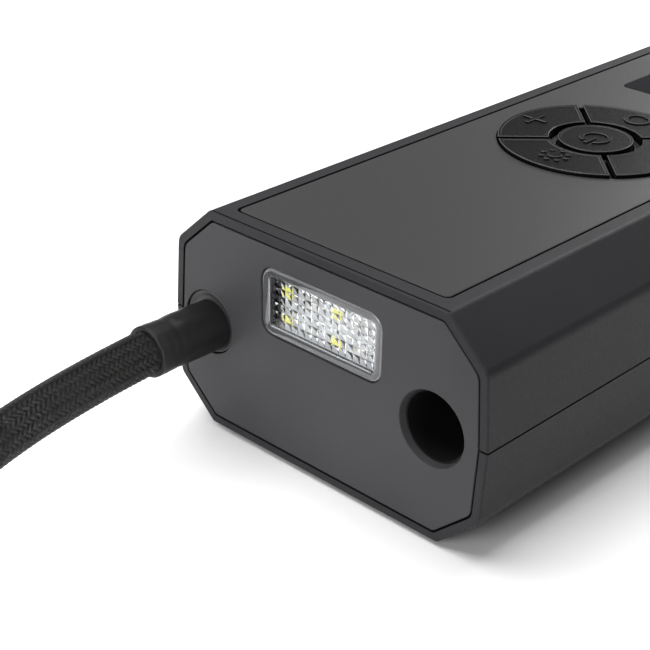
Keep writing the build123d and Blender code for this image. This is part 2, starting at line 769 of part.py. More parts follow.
with BuildPart() as gear_axle:
    along_y(gear_x, pump_z, axle_radius, frame_front, gear_back + 0.9)
    along_y(gear_x, pump_z, 3.4, frame_front + frame_plate, gear_front - 0.1)
save(gear_axle, "gear_axle")

with BuildPart() as axle_clip:
    along_y(gear_x, pump_z, 3.5, gear_back + 0.1, gear_back + 0.7)
    along_y(gear_x, pump_z, axle_radius, gear_back, gear_back + 1, Mode.SUBTRACT)
save(axle_clip, "axle_clip")

# ---------------------------------------------------------------- pump
flange_half = 13.3
flange_thickness = 2.0
pump_bolt_places = [(rod_depth + a, pump_z + b) for a in (-11.0, 11.0) for b in (-11.0, 11.0)]
frame_wall_start = cylinder_start - 2.0
frame_back = rod_depth + flange_half

plate_back = frame_front + frame_plate

with BuildPart() as pump_frame:
    frame_z = (pump_z - frame_half_height, pump_z + frame_half_height)
    foot_z = (floor_z, pump_z - frame_half_height)
    block((-36.5, cylinder_start), (frame_front, plate_back), frame_z)
    block((-20.0, 8.0), (frame_front, plate_back), foot_z)
    block((frame_wall_start, cylinder_start), (frame_front, frame_back), frame_z)
    block((frame_wall_start, cylinder_start), (frame_front, frame_back), foot_z)
    along_x(rod_depth, pump_z, bore_radius + 0.9, frame_wall_start - 1, cylinder_start, Mode.SUBTRACT)
    along_y(motor_x, pump_z, 3.0, frame_front, plate_back, Mode.SUBTRACT)
    along_y(gear_x, pump_z, axle_radius, frame_front, plate_back, Mode.SUBTRACT)
    for z in motor_screw_heights:
        along_y(motor_x, z, bolt_radius, frame_front, plate_back, Mode.SUBTRACT)
    for depth, z in pump_bolt_places:
        along_x(depth, z, bolt_radius, frame_wall_start, cylinder_start, Mode.SUBTRACT)
save(pump_frame, "pump_frame")

flange_end = cylinder_start + flange_thickness

with BuildPart() as cylinder:
    flange_depths = (rod_depth - flange_half, rod_depth + flange_half)
    block((cylinder_start, flange_end), flange_depths, (pump_z - flange_half, pump_z + flange_half))
    along_x(rod_depth, pump_z, bore_radius + 1.6, cylinder_start, cylinder_end)
    for start in (17.5, 20.5, 23.5, 26.5):
        along_x(rod_depth, pump_z, bore_radius + 2.7, start, start + 1)
    along_x(rod_depth, pump_z, bore_radius, cylinder_start, cylinder_end, Mode.SUBTRACT)
    for depth, z in pump_bolt_places:
        along_x(depth, z, bolt_radius, cylinder_start, flange_end, Mode.SUBTRACT)
save(cylinder, "cylinder")

with BuildPart() as pump_screws:
    for z in motor_screw_heights:
        along_y(motor_x, z, bolt_radius, frame_front - 1.0, plate_back)
        along_y(motor_x, z, 2.2, plate_back, plate_back + 1.4)
    for depth, z in pump_bolt_places:
        along_x(depth, z, bolt_radius, frame_wall_start, flange_end)
        along_x(depth, z, 2.1, flange_end, flange_end + 1.5)
save(pump_screws, "pump_screws")

piston_start = 10.3
piston_end = piston_start + 3.0
with BuildPart() as connecting_rod:
    along_y(crank_x, pump_z, 4.2, rod_front, rod_front + rod_thickness)
    block((crank_x, piston_start), (rod_front, rod_front + rod_thickness), (pump_z - 2.6, pump_z + 2.6))
    along_x(rod_depth, pump_z, bore_radius - 0.4, piston_start, piston_end)
    along_y(crank_x, pump_z, 1.6, rod_front, rod_front + rod_thickness, Mode.SUBTRACT)
save(connecting_rod, "connecting_rod")

with BuildPart() as piston_cup:
    turned_x(rod_depth, pump_z, [
        (piston_end, 0),
        (piston_end, bore_radius - running_clearance),
        (piston_end + 2.6, bore_radius - running_clearance),
        (piston_end + 2.6, bore_radius - 0.9),
        (piston_end + 1.2, bore_radius - 1.2),
        (piston_end + 1.2, 0),
    ])
save(piston_cup, "piston_cup")

with BuildPart() as valve_plate:
    along_x(rod_depth, pump_z, bore_radius + 1.6, cylinder_end, cylinder_end + 1.2)
    along_x(rod_depth, pump_z, 1.4, cylinder_end, cylinder_end + 1.2, Mode.SUBTRACT)
save(valve_plate, "valve_plate")

with BuildPart() as reed_valve:
    along_x(rod_depth, pump_z, 3.2, cylinder_end + 1.2, cylinder_end + 1.5)
save(reed_valve, "reed_valve")

head_start = cylinder_end + 1.2
outlet_x = 33.8
with BuildPart() as cylinder_head:
    along_x(rod_depth, pump_z, bore_radius + 1.6, head_start, head_start + 5.0)
    along_y(outlet_x, pump_z, 1.6, 57.0, rod_depth - 8.0)
    along_x(rod_depth, pump_z, bore_radius - 1.5, head_start, head_start + 3.5, Mode.SUBTRACT)
    along_y(outlet_x, pump_z, 0.8, 57.0, rod_depth, Mode.SUBTRACT)
save(cylinder_head, "cylinder_head")

# ---------------------------------------------------------------- air line inside the case
elbow_depth = 17.0
with BuildPart() as hose_fitting:
    turned_y(hose_x, hose_z, [(0, 6.0), (5.6, 6.0), (5.6, 7.5), (4.4, 8.2), (4.4, 21.0), (0, 21.0)])
    along_x(elbow_depth, hose_z, 1.6, hose_x, -20.0)
    along_x(elbow_depth, hose_z, 0.8, hose_x, -20.0, Mode.SUBTRACT)
save(hose_fitting, "hose_fitting")

air_route = [
    (-25.5, elbow_depth - length / 2, hose_z),
    (8.0, elbow_depth - length / 2, hose_z),
    (8.0, 52.0 - length / 2, pump_z),
    (outlet_x, 52.0 - length / 2, pump_z),
    (outlet_x, 59.5 - length / 2, pump_z),
]
with BuildPart() as air_tube:
    with BuildLine():
        FilletPolyline(*air_route, radius=5.5)
    with BuildSketch(Plane(origin=air_route[0], z_dir=(1, 0, 0))):
        Circle(2.6)
        Circle(1.6, mode=Mode.SUBTRACT)
    sweep()
save(air_tube, "air_tube")

# ---------------------------------------------------------------- hose and chuck
with BuildPart() as hose_grommet:
    turned_y(hose_x, hose_hole_z, [
        (0, 0.7),
        (5.4, 0.7),
        (hose_hole_radius - 0.5, 0.3),
        (hose_hole_radius - 0.2, 0.4),
        (hose_hole_radius - 0.2, end_panel_thickness),
        (grommet_flange_radius, end_panel_thickness),
        (grommet_flange_radius, 4.6),
        (0, 4.6),
    ])
    along_y(hose_x, hose_z, sleeve_radius, 0, 5, Mode.SUBTRACT)
save(hose_grommet, "hose_grommet")

with BuildPart() as hose_sleeve:
    turned_y(hose_x, hose_z, [
        (0, 6.0),
        (sleeve_radius, 6.0),
        (sleeve_radius, -11.0),
        (sleeve_radius + 0.1, -11.5),
        (sleeve_radius + 0.1, 0.5 - sleeve_reach),
        (sleeve_radius - 0.2, -sleeve_reach),
        (0, -sleeve_reach),
    ])
save(hose_sleeve, "hose_sleeve")

hose_points = [Vector(x, -length / 2 - ahead, z) for x, ahead, z in hose_route]
bend_radii = []
for before, point, after in zip(hose_points, hose_points[1:], hose_points[2:]):
    turn = math.radians((point - before).get_angle(after - point))
    shorter_run = min((point - before).length, (after - point).length)
    bend_radii.append(0.45 * shorter_run / math.tan(turn / 2))
print("hose bend radii (mm):", [round(radius, 1) for radius in bend_radii])
print("hose runs (mm):", [round((b - a).length, 1) for a, b in zip(hose_points, hose_points[1:])])

with BuildPart() as hose:
    with BuildLine() as hose_line:
        FilletPolyline(*hose_points, radius=bend_radii)
    with BuildSketch(Plane(origin=hose_points[0], z_dir=hose_points[1] - hose_points[0])):
        Circle(hose_diameter / 2)
    sweep()
hose_length = sum(edge.length for edge in hose_line.edges())
print("hose length (mm):", round(hose_length, 1))
print("hose volume over section x length:",
      round(hose.part.volume / (math.pi * hose_diameter ** 2 / 4 * hose_length), 4))
save(hose, "hose")

chuck_start = -hose_route[-1][1]     # depth of the hose's end
ferrule_end = chuck_start + 15.0
collar_start = ferrule_end + 1.5
collar_end = collar_start + 25.0
thread_length = 12.0

with BuildPart() as hose_ferrule:
    turned_y(chuck_x, chuck_z, [
        (0, chuck_start),
        (5.0, chuck_start),
        (5.6, chuck_start + 0.6),
        (5.6, chuck_start + 4.0),
        (5.2, chuck_start + 4.8),
        (5.2, chuck_start + 6.2),
        (5.6, chuck_start + 7.0),
        (5.6, ferrule_end - 0.6),
        (5.0, ferrule_end),
        (0, ferrule_end),
    ])
save(hose_ferrule, "hose_ferrule")

stem_head = collar_start + 2.6
with BuildPart() as chuck_stem:
    along_y(chuck_x, chuck_z, 2.5, ferrule_end, stem_head)
    along_y(chuck_x, chuck_z, 3.8, stem_head, stem_head + 1.8)
save(chuck_stem, "chuck_stem")

with BuildPart() as chuck_seal:
    along_y(chuck_x, chuck_z, 3.7, stem_head + 1.8, stem_head + 3.6)
    along_y(chuck_x, chuck_z, 0.7, stem_head + 1.8, stem_head + 3.6, Mode.SUBTRACT)
save(chuck_seal, "chuck_seal")

with BuildPart() as valve_depressor:
    along_y(chuck_x, chuck_z, 0.7, stem_head + 1.8, stem_head + 6.0)
    fillet(valve_depressor.faces().sort_by(Axis.Y)[-1].edges(), 0.3)
save(valve_depressor, "valve_depressor")

with BuildPart() as chuck_collar:
    turned_y(chuck_x, chuck_z, [
        (2.5 + running_clearance, collar_start),
        (chuck_radius - 1.2, collar_start),
        (chuck_radius, collar_start + 1.2),
        (chuck_radius, collar_end - 0.8),
        (chuck_radius - 0.8, collar_end),
        (valve_radius + 0.6, collar_end),
        (valve_radius, collar_end - 0.6),
        (valve_radius, collar_end - thread_length - 0.6),
        (valve_radius + 0.2, collar_end - thread_length - 0.8),
        (valve_radius + 0.2, collar_start + 2.5),
        (2.5 + running_clearance, collar_start + 2.5),
    ])
    with BuildSketch(across(collar_start + 4.0)):
        with Locations((chuck_x, chuck_z)):
            with PolarLocations(chuck_radius + 0.15, 24):
                Circle(0.5)
    extrude(amount=-15.0, mode=Mode.SUBTRACT)
save(chuck_collar, "chuck_collar")
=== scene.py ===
"""Cordless tyre inflator: camera, hose, detailed pieces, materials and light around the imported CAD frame.

Metres, in the frame of the CAD: +Z up, +Y from the front face to the back, origin under the middle of
the body.
"""
import json
import math

import bmesh
import bpy
from mathutils import Matrix, Vector, noise


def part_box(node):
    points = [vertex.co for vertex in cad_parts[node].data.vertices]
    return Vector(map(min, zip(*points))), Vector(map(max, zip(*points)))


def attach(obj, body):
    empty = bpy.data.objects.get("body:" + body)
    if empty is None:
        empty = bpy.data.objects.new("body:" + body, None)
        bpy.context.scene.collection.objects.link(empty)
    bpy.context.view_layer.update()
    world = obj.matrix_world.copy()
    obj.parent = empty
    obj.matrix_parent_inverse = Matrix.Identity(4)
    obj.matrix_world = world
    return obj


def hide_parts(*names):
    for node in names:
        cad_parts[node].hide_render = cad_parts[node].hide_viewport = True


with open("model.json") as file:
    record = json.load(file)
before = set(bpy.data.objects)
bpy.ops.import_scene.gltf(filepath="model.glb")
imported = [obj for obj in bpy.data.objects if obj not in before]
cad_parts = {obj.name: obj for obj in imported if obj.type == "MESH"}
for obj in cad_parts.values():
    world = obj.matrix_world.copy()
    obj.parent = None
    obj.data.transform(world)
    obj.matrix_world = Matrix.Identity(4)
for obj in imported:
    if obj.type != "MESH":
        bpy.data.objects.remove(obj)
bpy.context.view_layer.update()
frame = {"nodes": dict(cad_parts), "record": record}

scene = bpy.context.scene
nodes = frame["nodes"]
noise.seed_set(5)            # noise_vector would otherwise give other values in every run

# ---------------------------------------------------------------- camera
camera_place = Vector((0.18089, -0.27642, 0.17164))
camera_azimuth = math.radians(43.621)
camera_elevation = math.radians(27.615)
camera_roll = math.radians(0.932)
focal_length = 87.16         # millimetres, on a sensor 36 mm wide

camera = bpy.data.objects.new("camera", bpy.data.cameras.new("camera"))
camera.data.lens = focal_length
camera.data.sensor_width = 36.0
camera.data.clip_start = 0.01
camera.data.clip_end = 40.0
camera.matrix_world = (
    Matrix.Translation(camera_place)
    @ Matrix.Rotation(camera_azimuth, 4, "Z")
    @ Matrix.Rotation(math.pi / 2 - camera_elevation, 4, "X")
    @ Matrix.Rotation(camera_roll, 4, "Z")
)
scene.collection.objects.link(camera)
scene.camera = camera


# ---------------------------------------------------------------- mesh helpers
def mesh_piece(name, vertices, faces, body, smooth=True):
    """New mesh object from lists of points and faces, riding on a body."""
    mesh = bpy.data.meshes.new(name)
    mesh.from_pydata([tuple(v) for v in vertices], [], faces)
    mesh.validate()
    if smooth:
        mesh.shade_smooth()
    else:
        mesh.shade_flat()
    piece = bpy.data.objects.new(name, mesh)
    scene.collection.objects.link(piece)
    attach(piece, body)
    return piece


def ring_faces(rings, count):
    """Quads that join successive rings of count points each."""
    faces = []
    for ring in range(rings - 1):
        here = ring * count
        following = here + count
        for i in range(count):
            j = (i + 1) % count
            faces.append((here + i, here + j, following + j, following + i))
    return faces


def smoothstep(low, high, value):
    """Rises smoothly from 0 at low to 1 at high."""
    t = min(1.0, max(0.0, (value - low) / (high - low)))
    return t * t * (3 - 2 * t)


# ---------------------------------------------------------------- hose line
hose_diameter = 0.0092
hose_route = [
    (-0.0310, -0.1048, 0.0234),
    (-0.0310, -0.1300, 0.0219),
    (-0.0275, -0.1600, 0.0162),
    (-0.0105, -0.1820, 0.0086),
    (0.0180, -0.1940, 0.0049),
    (0.0355, -0.2195, 0.0047),
    (0.0360, -0.2520, 0.0047),
    (0.0180, -0.2790, 0.0047),
    (-0.0120, -0.2910, 0.0047),
    (-0.0435, -0.2835, 0.0047),
    (-0.0655, -0.2595, 0.0048),
    (-0.0695, -0.2275, 0.0064),
    (-0.0695, -0.2005, 0.0067),
]


def hose_line():
    """The hose's line: one smooth NURBS curve with the points of its route as control points."""
    data = bpy.data.curves.new("hose_line", "CURVE")
    data.dimensions = "3D"
    data.resolution_u = 24
    line = data.splines.new("NURBS")
    line.points.add(len(hose_route) - 1)
    for point, place in zip(line.points, hose_route):
        point.co = (*place, 1.0)
    line.order_u = 3
    line.use_endpoint_u = True
    return bpy.data.objects.new("hose_line", data)


def spaced_points(curve, step):
    """Points along a curve without bevel, evenly spaced by about step, and the curve's length."""
    mesh = bpy.data.meshes.new_from_object(curve)
    line = [v.co.copy() for v in mesh.vertices]
    bpy.data.meshes.remove(mesh)
    lengths = [0.0]
    for a, b in zip(line, line[1:]):
        lengths.append(lengths[-1] + (b - a).length)
    total = lengths[-1]
    count = round(total / step)
    points = []
    segment = 0
    for i in range(count + 1):
        want = total * i / count
        while segment < len(line) - 2 and lengths[segment + 1] < want:
            segment += 1
        run = lengths[segment + 1] - lengths[segment]
        points.append(line[segment].lerp(line[segment + 1], (want - lengths[segment]) / run))
    return points, total


def carried_frames(points):
    """Two directions across the line at each point, carried along it without twist."""
    side = Vector((1, 0, 0))
    frames = []
    for i in range(len(points)):
        tangent = (points[min(i + 1, len(points) - 1)] - points[max(i - 1, 0)]).normalized()
        side = (side - tangent * side.dot(tangent)).normalized()
        frames.append((side, tangent.cross(side)))
    return frames


hose_radius = hose_diameter / 2
core_radius = hose_radius - 0.0005
hose_spacing = 0.0004        # between the points along the hose
hose_points, hose_length = spaced_points(hose_line(), hose_spacing)
hose_frames = carried_frames(hose_points)


def hose_point(centre, directions, angle, radius):
    """Point at an angle and a radius round the hose's line, given the two directions across it there."""
    side, other = directions
    return centre + (side * math.cos(angle) + other * math.sin(angle)) * radius


def hose_core():
    """Rubber core of the hose, seen only between the strands of its braid."""
    count = 24
    every = 4                # a ring at every fourth point of the line
    vertices = []
    for centre, directions in list(zip(hose_points, hose_frames))[::every]:
        for i in range(count):
            vertices.append(hose_point(centre, directions, math.tau * i / count, core_radius))
    rings = len(vertices) // count
    faces = ring_faces(rings, count)
    faces += [tuple(reversed(range(count))), tuple(range((rings - 1) * count, rings * count))]
    return mesh_piece("hose_core", vertices, faces, "case")


core = hose_core()
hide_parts("hose")


# ---------------------------------------------------------------- hose braid
carriers = 24                # strands wound each way
braid_lead = 0.0288          # length in which a strand goes once round
strand_half_width = 0.00046
strand_relief = 0.00018      # how far a strand rises and dips as it crosses the others
strand_crown = 0.00016       # how much its middle stands above its edges
strand_snap = 2.2            # how quickly it passes from over to under
strand_columns = 3           # points across it: edge, crown, edge
strand_gain = math.sqrt(2)   # its length over the hose's, because it winds at about 45 degrees


def braid_strand(index, sense, vertices, faces, coordinates):
    """One flat strand of filaments, over two and under two of those wound the other way."""
    step = hose_length / (len(hose_points) - 1)
    first = len(vertices)
    for i, (centre, directions) in enumerate(zip(hose_points, hose_frames)):
        along = i * step
        turn = math.tau * (sense * along / braid_lead + index / carriers)
        # in one period of this wave the strand meets four of the others: it is over two and under two
        wave = sense * math.sin(turn * carriers / 2 + math.pi / 4)
        rise = strand_relief * math.tanh(strand_snap * wave)
        for c in range(strand_columns):
            across = c / (strand_columns - 1) * 2 - 1
            radius = hose_radius - strand_relief - strand_crown * across * across + rise
            angle = turn + across * strand_half_width * strand_gain / hose_radius
            vertices.append(hose_point(centre, directions, angle, radius))
            coordinates.append((along * strand_gain, across))
    for r in range(len(hose_points) - 1):
        for c in range(strand_columns - 1):
            a = first + r * strand_columns + c
            quad = (a, a + 1, a + strand_columns + 1, a + strand_columns)
            faces.append(quad if sense > 0 else quad[::-1])


def hose_braid():
    """Braid of flat strands over the hose's core, with (along, across) coordinates for its filaments."""
    vertices, faces, coordinates = [], [], []
    for sense in (1, -1):
        for index in range(carriers):
            braid_strand(index, sense, vertices, faces, coordinates)
    piece = mesh_piece("hose_braid", vertices, faces, "case")
    layer = piece.data.uv_layers.new(name="strand")
    for loop in piece.data.loops:
        layer.data[loop.index].uv = coordinates[loop.vertex_index]
    return piece


braid = hose_braid()


# ---------------------------------------------------------------- hose sleeve
front_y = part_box("front_panel")[0].y
sleeve_low, sleeve_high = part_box("hose_sleeve")
sleeve_x = (sleeve_low.x + sleeve_high.x) / 2
sleeve_z = (sleeve_low.z + sleeve_high.z) / 2
sleeve_radius = 0.00525
sleeve_ring_spacing = 0.0004
sleeve_ring_count = 54
lip_height = 0.00008         # how much the sleeve widens at its mouth
lip_fade = (0.0022, 0.0034)  # distances behind the mouth between which the lip fades out
facet_height = 0.00008       # of the six flats that the crimped ferrule leaves
facet_rise = (0.0012, 0.0030)    # distances in front of the case between which the flats appear
facet_fade = (0.0085, 0.0105)    # and between which they fade out
waist_depth = 0.00012        # how much the sleeve draws in, in front of the ferrule
waist_place = 0.0112         # its distance in front of the case
waist_width = 0.0008
dent_height = 0.00005
crease_height = 0.00003


def sleeve_unevenness(around, y):
    """Height of the soft dents and finer creases of the shrunk film."""
    dent = Vector((around.x * 1.6, around.y * 1.6, y / 0.0035))
    crease = Vector((around.x * 5.0, around.y * 5.0, y / 0.0045))
    return dent_height * noise.noise(dent) + crease_height * noise.noise(crease)


def hose_sleeve():
    """Heat-shrunk sleeve: shows the crimped ferrule under it, wrinkles a little, ends in a lip."""
    count = 96
    mouth = sleeve_low.y
    outline = [
        (mouth, hose_radius - 0.0003),
        (mouth, hose_radius + 0.0001),
        (mouth + 0.00005, sleeve_radius - 0.00012),
        (mouth + 0.0002, sleeve_radius),
    ]
    outline += [(mouth + 0.0006 + sleeve_ring_spacing * i, sleeve_radius) for i in range(sleeve_ring_count)]
    vertices = []
    for y, radius in outline:
        out = front_y - y
        lip = lip_height * (1 - smoothstep(*lip_fade, y - mouth))
        crimp = smoothstep(*facet_rise, out) * (1 - smoothstep(*facet_fade, out))
        waist = waist_depth * math.exp(-((out - waist_place) / waist_width) ** 2)
        for i in range(count):
            angle = math.tau * i / count
            around = Vector((math.cos(angle), math.sin(angle), 0))
            wrinkle = sleeve_unevenness(around, y) if radius == sleeve_radius else 0.0
            facets = facet_height * crimp * math.cos(6 * angle)
            r = radius + wrinkle + facets + lip - waist
            vertices.append((sleeve_x + around.x * r, y, sleeve_z + around.y * r))
    faces = ring_faces(len(outline), count)
    return mesh_piece("hose_sleeve_shrunk", vertices, faces, "case")


sleeve = hose_sleeve()
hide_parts("hose_sleeve")


# ---------------------------------------------------------------- work light
lens_low, lens_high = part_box("led_lens")
lens_x = (lens_low.x + lens_high.x) / 2
lens_z = (lens_low.z + lens_high.z) / 2
lens_half = (0.0156, 0.00715)
lens_corner = 0.0030
smallest_corner = 0.0004
corner_steps = 8


def rounded_loop(half_x, half_z, corner, y):
    """Points of a rounded rectangle across the front face, counter-clockwise seen from the front."""
    loop = []
    for quarter, (sx, sz) in enumerate(((1, 1), (-1, 1), (-1, -1), (1, -1))):
        for step in range(corner_steps + 1):
            angle = math.pi / 2 * (quarter + step / corner_steps)
            x = sx * (half_x - corner) + corner * math.cos(angle)
            z = sz * (half_z - corner) + corner * math.sin(angle)
            loop.append((lens_x + x, front_y + y, lens_z + z))
    return loop


def inset_loop(inset, y):
    """The lens's outline drawn in by inset, at a depth y behind the front face."""
    corner = max(lens_corner - inset, smallest_corner)
    return rounded_loop(lens_half[0] - inset, lens_half[1] - inset, corner, y)


lens_depth = 0.0030
prism_columns = 15
prism_rows = 6
prism_window = (0.0134, 0.0050)   # half width and half height of the field of prisms
prism_back = 0.00092              # depth of the window's back face
prism_height = 0.00055
prism_scatter = 0.00018           # how far the apexes stray from the middle of their cells
window_margin = 0.0019            # from the lens's outline to its clear window


def prism_place(column, row):
    """Place in the field of prisms, counted in cells from its lowest left corner."""
    x = (2 * column / prism_columns - 1) * prism_window[0]
    z = (2 * row / prism_rows - 1) * prism_window[1]
    return Vector((lens_x + x, front_y + prism_back, lens_z + z))


def prism_apex(column, row):
    """Tip of one prism, a little uneven in place and in height."""
    stray = noise.noise_vector(Vector((column * 1.37, row * 1.91, 0.5))) * prism_scatter
    height = prism_height * (1 - 0.5 * abs(noise.noise(Vector((column * 1.7, row * 2.3, 4.0)))))
    return prism_place(column + 0.5, row + 0.5) + Vector((stray.x, height, stray.y))


def close_margin(piece, outer, grid):
    """Fills the flat margin between the window's outline and the field of prisms."""
    work = bmesh.new()
    work.from_mesh(piece.data)
    work.verts.ensure_lookup_table()
    width = prism_columns + 1
    field = [grid + c for c in range(width)]
    field += [grid + r * width + prism_columns for r in range(1, prism_rows + 1)]
    field += [grid + prism_rows * width + c for c in range(prism_columns - 1, -1, -1)]
    field += [grid + r * width for r in range(prism_rows - 1, 0, -1)]
    edges = []
    for path in (outer, field):
        for a, b in zip(path, path[1:] + path[:1]):
            pair = (work.verts[a], work.verts[b])
            edges.append(work.edges.get(pair) or work.edges.new(pair))
    bmesh.ops.triangle_fill(work, edges=edges, use_beauty=True, use_dissolve=False)
    bmesh.ops.recalc_face_normals(work, faces=work.faces)
    work.to_mesh(piece.data)
    work.free()


def led_lens():
    """Clear lens: chamfered rim, a shallow step round the window, and a field of prisms on its back."""
    front_sections = [       # inset and depth, from the window's edge out over the rim to the back
        (0.00194, 0.00070),
        (0.00188, 0.00052),
        (0.00172, 0.00036),
        (0.00150, 0.00030),
        (0.00056, 0.00015),
        (0.00036, 0.00017),
        (0.00018, 0.00026),
        (0.00005, 0.00042),
        (0.0, 0.00062),
        (0.0, lens_depth),
    ]
    back_sections = [(0.0014, lens_depth), (0.0013, 0.0012), (0.0015, prism_back)]
    count = 4 * (corner_steps + 1)
    loops = [inset_loop(inset, y) for inset, y in front_sections + back_sections]
    vertices = [point for loop in loops for point in loop]
    faces = ring_faces(len(loops), count)
    faces.append(tuple(range(count)))                       # the window's flat front
    grid = len(vertices)
    last_loop = list(range(grid - count, grid))
    vertices += [prism_place(c, r) for r in range(prism_rows + 1) for c in range(prism_columns + 1)]
    for r in range(prism_rows):
        for c in range(prism_columns):
            corner = grid + r * (prism_columns + 1) + c
            square = (corner, corner + 1, corner + prism_columns + 2, corner + prism_columns + 1)
            faces += [(a, b, len(vertices)) for a, b in zip(square, square[1:] + square[:1])]
            vertices.append(prism_apex(c, r))
    piece = mesh_piece("led_lens_prisms", vertices, faces, "case", smooth=False)
    close_margin(piece, last_loop, grid)
    return piece


def mark_rim(piece):
    """Gives the faces outside the clear window the rim's material, and smooths its quads."""
    for polygon in piece.data.polygons:
        off_x = abs(polygon.center.x - lens_x) - (lens_half[0] - window_margin)
        off_z = abs(polygon.center.z - lens_z) - (lens_half[1] - window_margin)
        in_rim = max(off_x, off_z) > 0
        polygon.use_smooth = in_rim and len(polygon.vertices) == 4
        polygon.material_index = 1 if in_rim else 0


lens = led_lens()
mark_rim(lens)
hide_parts("led_lens")


led_columns = (-0.0096, -0.0032, 0.0032, 0.0096)
led_rows = (-0.0029, 0.0029)
led_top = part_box("led_emitters")[0].y
package_half = (0.0018, 0.0014)
package_depths = (led_top + 0.0001, led_top + 0.0007)
package_taper = 0.00008
phosphor_half = (0.0015, 0.0011)
phosphor_depths = (led_top, led_top + 0.0002)
phosphor_taper = 0.0001


def add_block(vertices, faces, middle, half, depths, taper):
    """Box round a middle (x, z), between a front and a back depth, its front face drawn in by taper."""
    first = len(vertices)
    front, back = depths
    for y, inset in ((back, 0.0), (front, taper)):
        for sx, sz in ((-1, -1), (1, -1), (1, 1), (-1, 1)):
            vertices.append((middle[0] + sx * (half[0] - inset), y, middle[1] + sz * (half[1] - inset)))
    for quad in ((3, 2, 1, 0), (4, 5, 6, 7), (0, 1, 5, 4), (1, 2, 6, 5), (2, 3, 7, 6), (3, 0, 4, 7)):
        faces.append(tuple(first + v for v in quad))


def led_packages():
    """Two rows of four LEDs: white moulded packages with a square phosphor window."""
    vertices, faces, phosphor_faces = [], [], []
    for column, x in enumerate(led_columns):
        for z in led_rows:
            middle = (lens_x + x, lens_z + z)
            add_block(vertices, faces, middle, package_half, package_depths, package_taper)
            start = len(faces)
            add_block(vertices, faces, middle, phosphor_half, phosphor_depths, phosphor_taper)
            phosphor_faces += [(face, column) for face in range(start, len(faces))]
    piece = mesh_piece("led_packages", vertices, faces, "case", smooth=False)
    return piece, phosphor_faces


packages, phosphor_faces = led_packages()
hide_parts("led_emitters")


# ---------------------------------------------------------------- display segments
window_low, window_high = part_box("display_window")
digit_size = (0.0052, 0.0092)     # across and along the body
digit_pitch = 0.0072
segment_width = 0.0009
mark_pitch = 0.004                # the row of unit marks in front of the digits
mark_length = 0.003
mark_offset = 0.0085
print_lift = 0.00002              # the segments lie just on the window


def bar(vertices, faces, x, y, length, along_y):
    """Flat six-sided segment with pointed ends, lying just on the display window."""
    first = len(vertices)
    end = length / 2
    side = segment_width / 2
    outline = [(-end, 0), (side - end, -side), (end - side, -side), (end, 0), (end - side, side),
               (side - end, side)]
    for u, v in outline:
        dx, dy = (v, u) if along_y else (u, v)
        vertices.append((x + dx, y + dy, window_high.z + print_lift))
    face = tuple(range(first, first + 6))
    faces.append(face[::-1] if along_y else face)


def display_segments():
    """Unlit seven-segment digits and a row of marks, faintly visible in the dark window."""
    vertices, faces = [], []
    middle_x = (window_low.x + window_high.x) / 2
    middle_y = (window_low.y + window_high.y) / 2
    for digit in (-1.5, -0.5, 0.5, 1.5):
        x = middle_x + digit * digit_pitch
        for row in (-0.5, 0.0, 0.5):
            bar(vertices, faces, x, middle_y + row * digit_size[1], digit_size[0] - segment_width, False)
        for side in (-0.5, 0.5):
            for row in (-0.25, 0.25):
                bar(vertices, faces, x + side * digit_size[0], middle_y + row * digit_size[1],
                    digit_size[1] / 2 - segment_width, True)
    for mark in (-1, 0, 1):
        bar(vertices, faces, middle_x + mark * mark_pitch, middle_y - mark_offset, mark_length, False)
    return mesh_piece("display_segments", vertices, faces, "case", smooth=False)


segments = display_segments()


